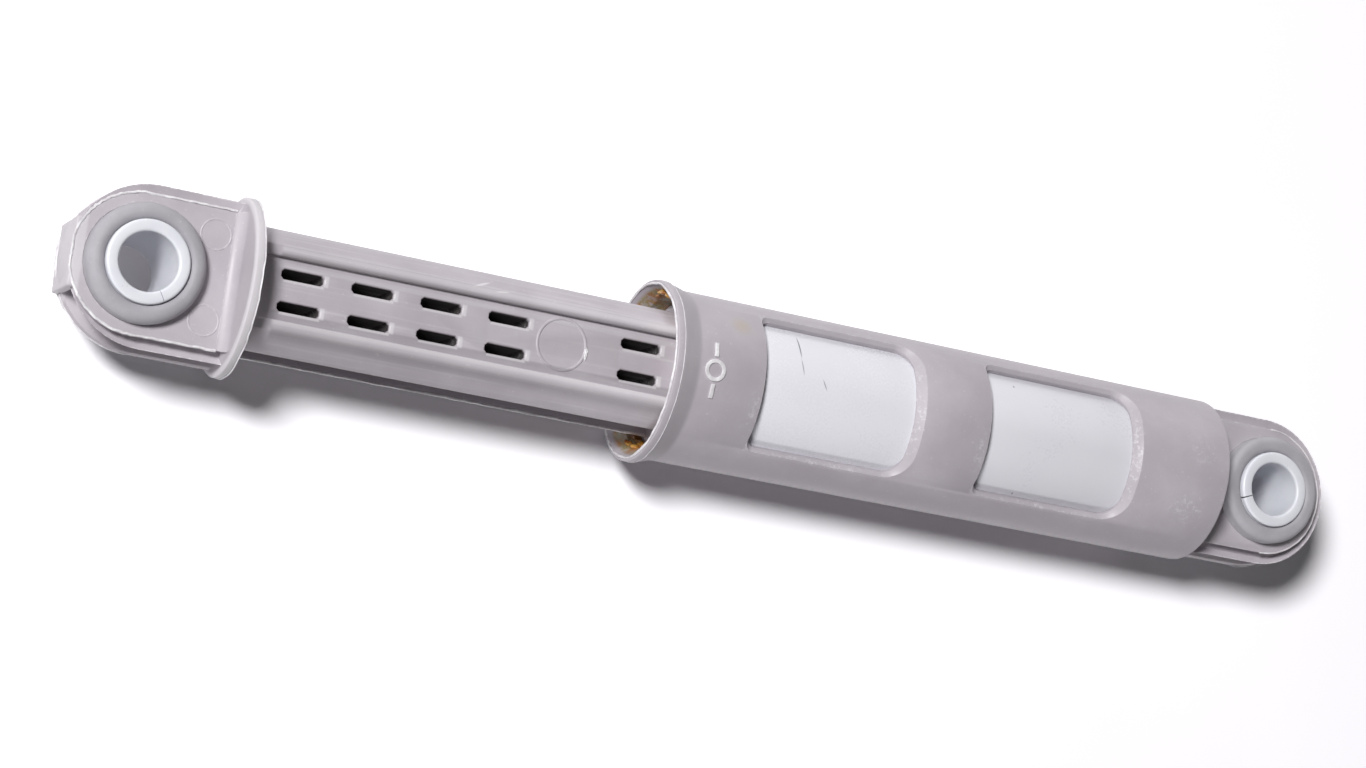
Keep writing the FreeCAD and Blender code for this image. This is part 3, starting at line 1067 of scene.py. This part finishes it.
def makeMouldMark():
    s = markShape
    for index, y in enumerate(s["bars"]):
        bar = newPiece(bpy.ops.mesh.primitive_grid_add, "mouldBar" + str(index), size=1, x_subdivisions=2,
                       y_subdivisions=10, location=inMetres((s["x"], y, aboveTube)))
        bar.scale = (s["barWidth"] * mm, s["barLength"] * mm, 1)
        applyPlace(bar)
        wrapOnTube(bar)
    ring = newPiece(bpy.ops.mesh.primitive_circle_add, "mouldRing", vertices=40, fill_type="NGON",
                    radius=(s["ringRadius"] + s["ringWidth"] / 2) * mm,
                    location=inMetres((s["x"], sum(s["bars"]) / 2, aboveTube)))
    editAll(ring, "VERT")
    bpy.ops.mesh.inset(thickness=s["ringWidth"] * mm, depth=0)
    bpy.ops.mesh.delete(type="FACE")
    applyPlace(ring)
    wrapOnTube(ring)


makeMouldMark()
print("mould mark made")


# lumps of grease pressed out round the rod at the mouth

greaseShape = dict(wobble=0.16, smooth=0.5, shade=80)
greaseLumps = (
    dict(name="greaseTopA", place=(149.3, -16.3, 4.2), size=(1.3, 0.55, 1.7), seed=1),
    dict(name="greaseTopB", place=(148.9, -16.7, 1.6), size=(1.1, 0.5, 1.6), seed=2),
    dict(name="greaseTopC", place=(148.2, -16.4, -1.2), size=(0.9, 0.45, 1.4), seed=3),
    dict(name="greaseLowA", place=(148.0, 15.2, -4.8), size=(1.2, 0.5, 1.5), seed=4),
    dict(name="greaseLowB", place=(148.4, 14.3, -7.6), size=(1.0, 0.5, 1.5), seed=5),
    dict(name="greaseTopD", place=(149.3, -15.2, 7.1), size=(1.2, 0.5, 1.5), seed=6),
    dict(name="greaseLowC", place=(145.9, 12.6, -9.6), size=(1.1, 0.7, 1.8), seed=7),
    dict(name="greaseLowD", place=(145.7, 14.1, -7.2), size=(1.0, 0.7, 1.5), seed=8),
)


def makeGrease(lump):
    s = greaseShape
    towardsWall = math.atan2(lump["place"][2], lump["place"][1])
    blob = addLump(lump["name"], lump["place"], lump["size"], towardsWall)
    wobble(s["wobble"], lump["seed"])
    bpy.ops.mesh.vertices_smooth(factor=s["smooth"], repeat=1)
    applyModifier(blob, "SUBSURF", "soft", levels=1, render_levels=1)
    smoothShade(blob, s["shade"])
    placePiece(blob, "housing", greaseAmber, "greased_foam")


for lump in greaseLumps:
    makeGrease(lump)
print("grease made")


# floor, light and camera

stageLook = dict(floorTop=-19.2, floorSize=3.0, floorX=0.14, floorTint=(0.985, 0.965, 1.0), floorSeen=1.26,
                 floorBounce=0.5, sky=0.01, lampTarget=(130, 0, 0))
lampLooks = (
    dict(name="keyBox", kind="AREA", place=(1250, -300, 1624), strength=42.3, spread=0.5),  # watts, metres
    dict(name="backLamp", kind="SUN", place=(150, -1000, 30), strength=1.2, spread=22.0),  # degrees
    dict(name="lowLamp", kind="SUN", place=(350, 1000, 0), strength=1.5, spread=16.0),
    dict(name="sideLamp", kind="SUN", place=(-1000, -300, 40), strength=0.6, spread=22.0),
)


def directlySeen(tree):
    light = addNode(tree, "ShaderNodeLightPath").outputs
    seen = mathNode(tree, "ADD", light["Is Camera Ray"], light["Is Glossy Ray"], True)
    return mathNode(tree, "ADD", seen, light["Is Transmission Ray"], True)


def makeFloor():
    s = stageLook
    floor = newPiece(bpy.ops.mesh.primitive_plane_add, "floorSheet", size=s["floorSize"],
                     location=(s["floorX"], 0, s["floorTop"] * mm))
    material = bpy.data.materials.new("floorPale")
    material.use_nodes = True
    tree = material.node_tree
    tree.nodes.clear()
    level = rangeNode(tree, directlySeen(tree), 0.0, 1.0, s["floorBounce"], s["floorSeen"])
    tint = addNode(tree, "ShaderNodeVectorMath", operation="SCALE")
    tint.inputs[0].default_value = s["floorTint"]
    put(tree, tint.inputs["Scale"], level)
    matt = addNode(tree, "ShaderNodeBsdfDiffuse")
    put(tree, matt.inputs["Color"], tint.outputs["Vector"])
    output = addNode(tree, "ShaderNodeOutputMaterial")
    put(tree, output.inputs[0], matt.outputs[0])
    floor.data.materials.append(material)


def makeWorld():
    sky = stageLook["sky"]
    world = bpy.data.worlds.new("studio")
    bpy.context.scene.world = world
    world.use_nodes = True
    tree = world.node_tree
    tree.nodes.clear()
    background = addNode(tree, "ShaderNodeBackground")
    background.inputs["Color"].default_value = (1, 1, 1, 1)
    strength = mathNode(tree, "ADD", times(tree, directlySeen(tree), 1 - sky), sky)
    put(tree, background.inputs["Strength"], strength)
    output = addNode(tree, "ShaderNodeOutputWorld")
    put(tree, output.inputs[0], background.outputs[0])


def makeLamps():
    for look in lampLooks:
        light = bpy.data.lights.new(look["name"], look["kind"])
        light.energy = look["strength"]
        place = Vector(look["place"])
        towards = place
        if look["kind"] == "AREA":
            light.shape = "DISK"
            light.size = look["spread"]
            towards = place - Vector(stageLook["lampTarget"])
        else:
            light.angle = math.radians(look["spread"])
        lamp = bpy.data.objects.new(look["name"], light)
        bpy.context.scene.collection.objects.link(lamp)
        lamp.rotation_euler = towards.to_track_quat("Z", "Y").to_euler()
        lamp.location = place * mm


viewShape = dict(eye=(405.369, 114.065, 616.39), target=(141.011, 1.07, 0.0), roll=0.127,
                 focal=3256.952, imageWidth=1366, sensor=36.0)


def makeCamera():
    s = viewShape
    eye = Vector(s["eye"])
    ahead = (Vector(s["target"]) - eye).normalized()
    flatRight = ahead.cross(Vector((0, -1, 0))).normalized()
    flatUp = flatRight.cross(ahead)
    right = math.cos(s["roll"]) * flatRight + math.sin(s["roll"]) * flatUp
    up = math.cos(s["roll"]) * flatUp - math.sin(s["roll"]) * flatRight
    lens = bpy.data.cameras.new("photoView")
    lens.sensor_fit = "HORIZONTAL"
    lens.sensor_width = s["sensor"]
    lens.lens = s["focal"] * s["sensor"] / s["imageWidth"]
    lens.clip_start = 0.01
    camera = bpy.data.objects.new("photoView", lens)
    bpy.context.scene.collection.objects.link(camera)
    turn = Matrix((right, up, -ahead)).transposed().to_4x4()
    camera.matrix_world = Matrix.Translation(eye * mm) @ turn
    bpy.context.scene.camera = camera


makeFloor()
makeWorld()
makeLamps()
makeCamera()
bpy.context.scene.view_settings.view_transform = "Standard"
print("stage set")

toObjectMode()
